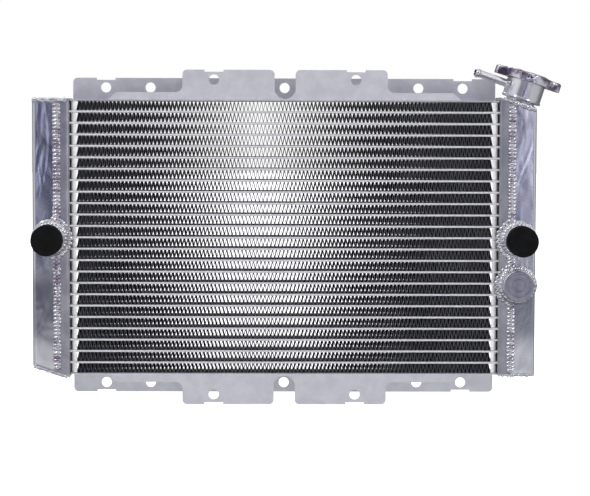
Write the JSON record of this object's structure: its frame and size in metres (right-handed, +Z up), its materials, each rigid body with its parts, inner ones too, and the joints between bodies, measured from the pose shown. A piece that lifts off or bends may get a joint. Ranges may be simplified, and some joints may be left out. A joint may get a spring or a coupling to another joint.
{
  "type": "car radiator",
  "caption": "Aluminium crossflow radiator with welded side tanks, hose necks, fan-switch boss, tilted filler neck with pressure cap, and slotted mounting channels.",
  "frame": {"origin": "centre of the four outer mounting holes, on the rear face of the rear flanges", "axes": "+X to the right seen from the front, along the tubes; +Y to the rear; +Z up"},
  "size_m": [0.4651, 0.0785, 0.3003],
  "materials": {
    "core_tube": "bright rolled edge",
    "fin_foil": "satin foil",
    "channel_sheet": "satin rolled aluminium sheet",
    "header_sheet": "satin",
    "tank_sheet": "polished and brushed",
    "weld": "rippled weld metal",
    "turned_aluminium": "turned and polished",
    "black_rubber": "matte",
    "grey_plug": "translucent soft plastic",
    "cap_plating": "bright plated",
    "spring_steel": "satin",
    "valve_brass": "satin"
  },
  "bodies": {
    "radiator": {"tube_01": "core_tube", "tube_02": "core_tube", "tube_03": "core_tube", "tube_04": "core_tube", "tube_05": "core_tube", "tube_06": "core_tube", "tube_07": "core_tube", "tube_08": "core_tube", "tube_09": "core_tube", "tube_10": "core_tube", "tube_11": "core_tube", "tube_12": "core_tube", "tube_13": "core_tube", "tube_14": "core_tube", "tube_15": "core_tube", "tube_16": "core_tube", "tube_17": "core_tube", "tube_18": "core_tube", "tube_19": "core_tube", "tube_20": "core_tube", "tube_21": "core_tube", "tube_22": "core_tube", "tube_23": "core_tube", "core_fins_upper": "fin_foil", "core_fins_lower": "fin_foil", "top_side_channel": "channel_sheet", "bottom_side_channel": "channel_sheet", "left_header_plate": "header_sheet", "right_header_plate": "header_sheet", "left_tank": "tank_sheet", "right_tank": "tank_sheet", "left_top_end_plate": "tank_sheet", "left_bottom_end_plate": "tank_sheet", "right_top_end_plate": "tank_sheet", "right_bottom_end_plate": "tank_sheet", "left_tank_welds": "weld", "right_tank_welds": "weld", "left_hose_neck_weld": "weld", "right_hose_neck_weld": "weld", "fan_switch_boss_weld": "weld", "filler_neck_weld": "weld", "left_hose_neck": "turned_aluminium", "right_hose_neck": "turned_aluminium", "fan_switch_boss": "turned_aluminium", "filler_neck": "turned_aluminium", "overflow_nipple": "turned_aluminium"},
    "cap_stem": {"cap_rivet": "cap_plating", "cap_spring_disc": "spring_steel", "cap_gasket": "black_rubber", "cap_spring_bell": "spring_steel", "cap_pressure_spring": "spring_steel"},
    "cap_top": {"cap_shell": "cap_plating"},
    "pressure_valve": {"cap_pressure_valve": "spring_steel", "cap_main_seal": "black_rubber", "cap_vacuum_spring": "spring_steel"},
    "vacuum_valve": {"cap_vacuum_valve": "valve_brass"},
    "left_cap": {"left_hose_cap": "black_rubber"},
    "right_cap": {"right_hose_cap": "black_rubber"},
    "plug": {"fan_switch_plug": "grey_plug"}
  },
  "joints": [
    {"name": "cap_rise", "type": "slide", "parent": "radiator", "child": "cap_stem", "axis": [0.309, 0, 0.9511], "range_m": [0, 0.002]},
    {"name": "cap_turn", "type": "hinge", "parent": "cap_stem", "child": "cap_top", "pos_m": [0.2068, -0.0175, 0.11747], "axis": [0.309, 0, 0.9511], "range_deg": [0, 90]},
    {"name": "pressure_valve_lift", "type": "slide", "parent": "cap_stem", "child": "pressure_valve", "axis": [0.309, 0, 0.9511], "range_m": [0, 0.003], "stiffness_N_per_m": 200, "deforming": ["cap_pressure_spring"]},
    {"name": "vacuum_valve_drop", "type": "slide", "parent": "pressure_valve", "child": "vacuum_valve", "axis": [-0.309, 0, -0.9511], "range_m": [0, 0.002], "stiffness_N_per_m": 200, "springref_m": -0.0002, "deforming": ["cap_vacuum_spring"]},
    {"name": "left_cap_pull", "type": "slide", "parent": "radiator", "child": "left_cap", "axis": [0, -1, 0], "range_m": [0, 0.08]},
    {"name": "right_cap_pull", "type": "slide", "parent": "radiator", "child": "right_cap", "axis": [0, -1, 0], "range_m": [0, 0.08]},
    {"name": "plug_pull", "type": "slide", "parent": "radiator", "child": "plug", "axis": [0, -1, 0], "range_m": [0, 0.08]}
  ],
  "couplings": [
    {"joint": "cap_rise", "follows": "cap_turn", "m_per_rad": 0.0012732}
  ]
}
